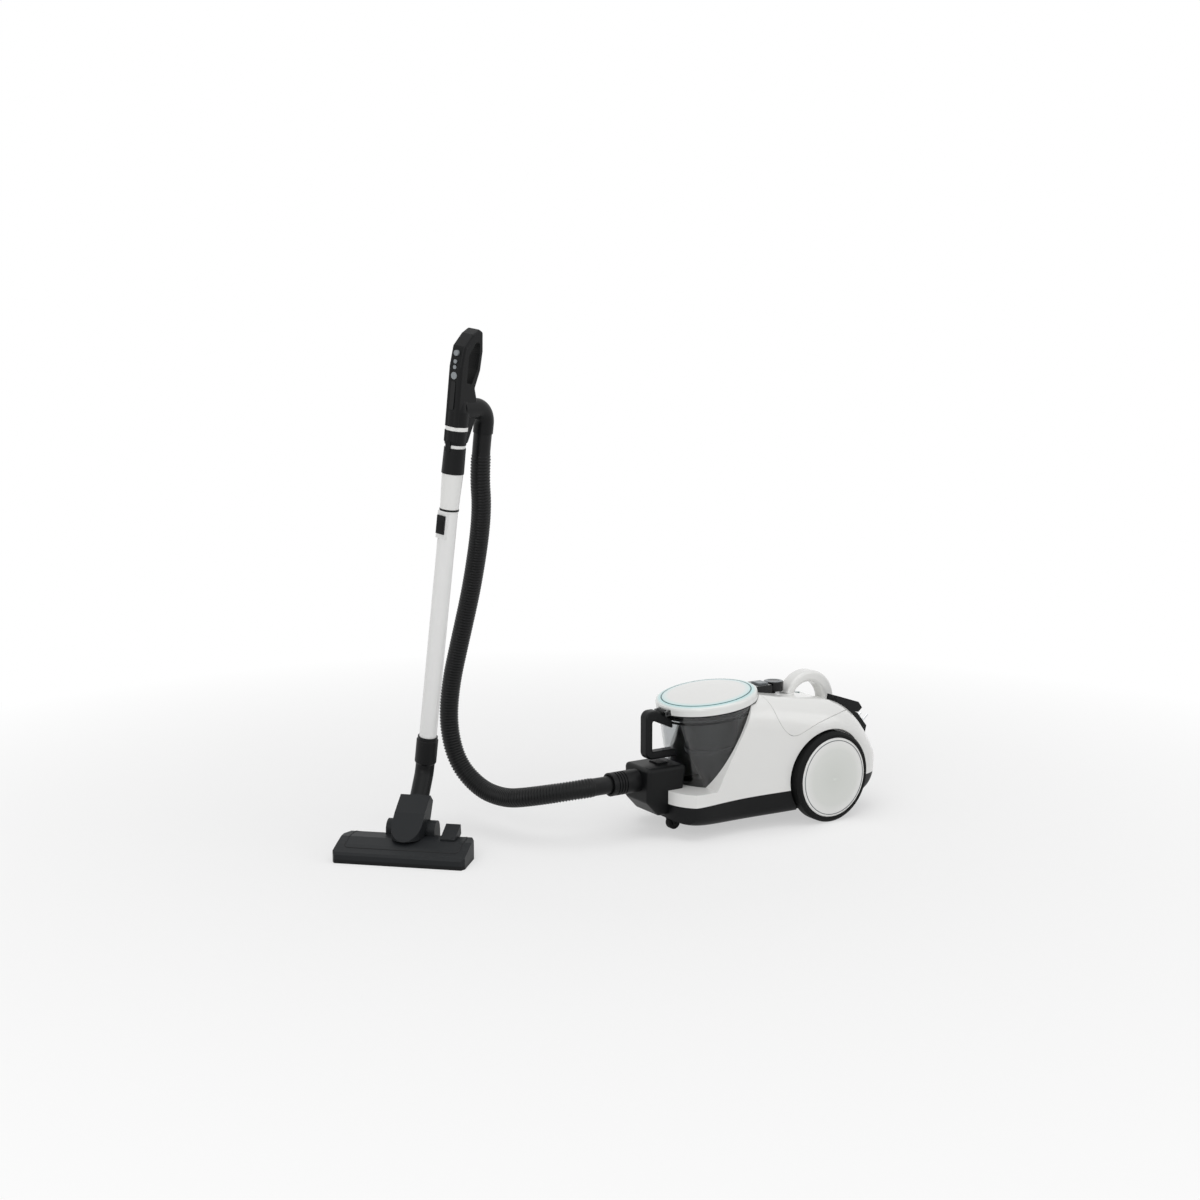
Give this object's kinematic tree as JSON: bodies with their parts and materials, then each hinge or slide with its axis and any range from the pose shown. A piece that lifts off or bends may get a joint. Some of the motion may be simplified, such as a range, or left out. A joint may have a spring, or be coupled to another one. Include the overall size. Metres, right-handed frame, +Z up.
{
  "type": "canister vacuum cleaner",
  "caption": "Bagless canister vacuum cleaner with a tilted see-through dust bin, big rear wheels, ribbed hose, telescopic wand with loop handle and floor nozzle.",
  "frame": {"origin": "on the floor, under the middle of the box round the whole cleaner without its hose", "axes": "+Z up; +X from the wand and the nozzle towards the rear of the canister; +Y to the right of the canister when one looks towards its front"},
  "size_m": [1.0995, 0.439, 0.9627],
  "materials": {
    "white_gloss": "gloss",
    "white_tube": "gloss",
    "black_satin": "satin",
    "black_gloss": "gloss",
    "charcoal": "satin",
    "smoked_clear": "clear gloss",
    "cyclone_grey": "satin",
    "teal": "gloss",
    "key_grey": "satin",
    "hose_black": "satin",
    "tyre_black": "matte",
    "rubber_black": "matte",
    "steel": "brushed",
    "bright_steel": "polished",
    "fan_metal": "satin",
    "filter_felt": "matte",
    "board_green": "satin",
    "bristle": "matte"
  },
  "bodies": {
    "chassis": {"base_pan": "black_satin", "body_shell": "white_gloss", "top_cover": "white_gloss", "control_panel": "black_gloss", "inlet_port": "black_satin", "motor_housing": "charcoal", "motor_filter": "filter_felt", "motor_stator": "steel", "exhaust_filter": "filter_felt", "reel_bracket": "charcoal", "control_board": "board_green", "axle_pins": "steel", "housing_screws": "steel", "cord_outlet": "black_satin", "power_plug": "black_satin", "plug_pins": "bright_steel"},
    "wheel_left": {"wheel_left": "white_gloss", "tyre_left": "tyre_black"},
    "wheel_right": {"wheel_right": "white_gloss", "tyre_right": "tyre_black"},
    "caster_fork": {"caster_fork": "black_satin"},
    "caster_wheel": {"caster_wheel": "rubber_black"},
    "power_knob": {"power_knob": "black_gloss"},
    "bin_release_button": {"bin_release_button": "key_grey"},
    "rewind_button": {"rewind_button": "teal"},
    "hose_latch": {"hose_latch": "black_satin"},
    "dust_bin": {"dust_bin": "smoked_clear", "bin_handle": "black_satin", "bin_seal": "rubber_black", "cyclone_shroud": "cyclone_grey", "cyclone_cone": "cyclone_grey"},
    "bin_lid": {"bin_lid": "white_gloss", "lid_ring": "teal"},
    "exhaust_grille": {"exhaust_grille": "black_satin"},
    "cord_reel": {"cord_reel": "charcoal", "cord_winding": "rubber_black", "rewind_spring": "steel"},
    "motor_rotor": {"motor_rotor": "steel", "fan_impeller": "fan_metal"},
    "hose_cuff": {"hose_cuff": "black_satin"},
    "hose": {"hose": "hose_black", "hose_elbow": "black_satin"},
    "handle": {"handle_body": "black_satin", "handle_trim": "white_gloss", "upper_tube": "bright_steel", "tele_sleeve": "white_gloss", "wand_collar": "black_satin"},
    "button_power": {"button_power": "key_grey"},
    "button_up": {"button_up": "key_grey"},
    "button_down": {"button_down": "key_grey"},
    "button_mode": {"button_mode": "key_grey"},
    "lower_tube": {"lower_tube": "white_tube", "nozzle_neck": "black_satin"},
    "tele_button": {"tele_button": "black_satin"},
    "nozzle_yoke": {"nozzle_yoke": "charcoal"},
    "nozzle": {"nozzle_hood": "charcoal", "nozzle_sole": "charcoal"},
    "nozzle_pedal": {"nozzle_pedal": "charcoal"},
    "brush_strip": {"brush_strip": "bristle"},
    "nozzle_rollers": {"nozzle_rollers": "rubber_black"}
  },
  "joints": [
    {"name": "wheel_left_spin", "type": "hinge", "parent": "chassis", "child": "wheel_left", "pos_m": [0.388, -0.1692, 0.091], "axis": [0, 1, 0], "continuous": true},
    {"name": "wheel_right_spin", "type": "hinge", "parent": "chassis", "child": "wheel_right", "pos_m": [0.388, 0.0768, 0.091], "axis": [0, 1, 0], "continuous": true},
    {"name": "caster_swivel", "type": "hinge", "parent": "chassis", "child": "caster_fork", "pos_m": [0.086, -0.0462, 0.04], "axis": [0, 0, 1], "continuous": true},
    {"name": "caster_spin", "type": "hinge", "parent": "caster_fork", "child": "caster_wheel", "pos_m": [0.094, -0.0462, 0.013], "axis": [0, 1, 0], "continuous": true},
    {"name": "power_knob_turn", "type": "hinge", "parent": "chassis", "child": "power_knob", "pos_m": [0.342, -0.0462, 0.25], "axis": [0, 0, 1], "range_deg": [-135, 135]},
    {"name": "bin_release_press", "type": "slide", "parent": "chassis", "child": "bin_release_button", "axis": [0, 0, -1], "range_m": [0, 0.0025], "stiffness_N_per_m": 600},
    {"name": "rewind_press", "type": "slide", "parent": "chassis", "child": "rewind_button", "axis": [0, 0, -1], "range_m": [0, 0.0025], "stiffness_N_per_m": 600},
    {"name": "hose_latch_press", "type": "slide", "parent": "chassis", "child": "hose_latch", "axis": [0, 0, -1], "range_m": [0, 0.003], "stiffness_N_per_m": 600},
    {"name": "bin_lift", "type": "slide", "parent": "chassis", "child": "dust_bin", "axis": [-0.1419, 0, 0.9899], "range_m": [0, 0.25]},
    {"name": "bin_lid_open", "type": "hinge", "parent": "dust_bin", "child": "bin_lid", "pos_m": [0.0666, -0.0462, 0.23579], "axis": [0, -1, 0], "range_deg": [0, 75]},
    {"name": "grille_open", "type": "hinge", "parent": "chassis", "child": "exhaust_grille", "pos_m": [0.5462, -0.0462, 0.083], "axis": [0, 1, 0], "range_deg": [0, 95]},
    {"name": "reel_spin", "type": "hinge", "parent": "chassis", "child": "cord_reel", "pos_m": [0.48, -0.0462, 0.118], "axis": [0, 1, 0], "continuous": true},
    {"name": "rotor_spin", "type": "hinge", "parent": "chassis", "child": "motor_rotor", "pos_m": [0.352, -0.0462, 0.112], "axis": [1, 0, 0], "continuous": true},
    {"name": "cuff_turn", "type": "hinge", "parent": "chassis", "child": "hose_cuff", "pos_m": [-0.012, -0.0462, 0.11], "axis": [1, 0, 0], "continuous": true},
    {"name": "hose_sway", "type": "hinge", "parent": "chassis", "child": "hose", "pos_m": [-0.0553, -0.0462, 0.11], "axis": [0, 0, 1], "range_deg": [-25, 25], "deforming": ["hose"]},
    {"name": "handle_swivel", "type": "hinge", "parent": "hose", "child": "handle", "pos_m": [-0.28544, 0.05247, 0.82033], "axis": [0.9288, 0.369, 0.0337], "range_deg": [-30, 20]},
    {"name": "button_power_press", "type": "slide", "parent": "handle", "child": "button_power", "axis": [0.9288, 0.369, 0.0337], "range_m": [0, 0.0015], "stiffness_N_per_m": 500},
    {"name": "button_up_press", "type": "slide", "parent": "handle", "child": "button_up", "axis": [0.9288, 0.369, 0.0337], "range_m": [0, 0.0015], "stiffness_N_per_m": 500},
    {"name": "button_down_press", "type": "slide", "parent": "handle", "child": "button_down", "axis": [0.9288, 0.369, 0.0337], "range_m": [0, 0.0015], "stiffness_N_per_m": 500},
    {"name": "button_mode_press", "type": "slide", "parent": "handle", "child": "button_mode", "axis": [0.9288, 0.369, 0.0337], "range_m": [0, 0.0015], "stiffness_N_per_m": 500},
    {"name": "telescope", "type": "slide", "parent": "handle", "child": "lower_tube", "axis": [-0.0318, 0.1702, -0.9849], "range_m": [0, 0.3]},
    {"name": "tele_button_slide", "type": "slide", "parent": "lower_tube", "child": "tele_button", "axis": [-0.0318, 0.1702, -0.9849], "range_m": [0, 0.006], "stiffness_N_per_m": 500},
    {"name": "neck_swivel", "type": "hinge", "parent": "lower_tube", "child": "nozzle_yoke", "pos_m": [-0.37343, 0.12479, 0.07963], "axis": [0.4505, 0.4803, 0.7526], "range_deg": [-40, 40]},
    {"name": "nozzle_tilt", "type": "hinge", "parent": "nozzle_yoke", "child": "nozzle", "pos_m": [-0.39595, 0.10077, 0.042], "axis": [0.7293, -0.6842, 0], "range_deg": [0, 40]},
    {"name": "pedal_press", "type": "hinge", "parent": "nozzle", "child": "nozzle_pedal", "pos_m": [-0.35548, 0.02991, 0.029], "axis": [-0.7293, 0.6842, 0], "range_deg": [0, 10]},
    {"name": "brush_drop", "type": "slide", "parent": "nozzle", "child": "brush_strip", "axis": [0, 0, -1], "range_m": [0, 0.005]},
    {"name": "rollers_spin", "type": "hinge", "parent": "nozzle", "child": "nozzle_rollers", "pos_m": [-0.39458, 0.10223, 0.01], "axis": [0.7293, -0.6842, 0], "continuous": true}
  ],
  "couplings": [
    {"joint": "brush_drop", "follows": "pedal_press", "m_per_rad": 0.0286}
  ]
}
